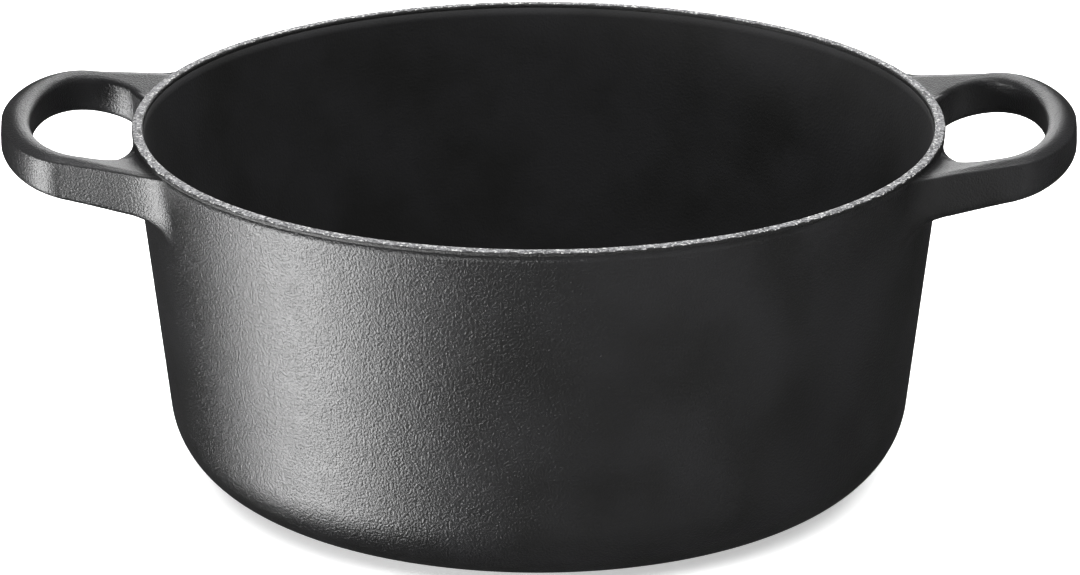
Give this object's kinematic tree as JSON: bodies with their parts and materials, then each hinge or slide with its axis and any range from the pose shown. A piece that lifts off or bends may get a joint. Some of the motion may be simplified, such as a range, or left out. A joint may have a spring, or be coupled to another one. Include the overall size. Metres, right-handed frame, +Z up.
{
  "type": "dutch oven",
  "caption": "Round open dutch oven in enamelled cast iron: tapered wall, rounded lower corner, bare ground-coat rim and a wide loop handle cast on at each side of the rim.",
  "frame": {"origin": "centre of the flat foot ring, on the surface that the pot stands on", "axes": "+Z up through the open top, +X from the pot's axis through the right loop handle, +Y towards the back"},
  "size_m": [0.3268, 0.2468, 0.1129],
  "materials": {
    "cast_iron": "sand-cast, under enamel",
    "exterior_enamel": "satin black vitreous enamel, fine orange peel",
    "handle_enamel": "satin black vitreous enamel, fine orange peel",
    "base_enamel": "satin black vitreous enamel, thinner over the foot",
    "interior_enamel": "matt black vitreous enamel, fine pores",
    "rim_ground_coat": "bare grey ground coat, speckled and slightly rough"
  },
  "bodies": {
    "root": {"pot_body": "cast_iron", "left_loop_handle": "cast_iron", "right_loop_handle": "cast_iron", "rim_ground_coat": "rim_ground_coat", "interior_enamel": "interior_enamel", "exterior_enamel": "exterior_enamel", "base_enamel": "base_enamel", "left_handle_enamel": "handle_enamel", "right_handle_enamel": "handle_enamel"}
  },
  "joints": []
}
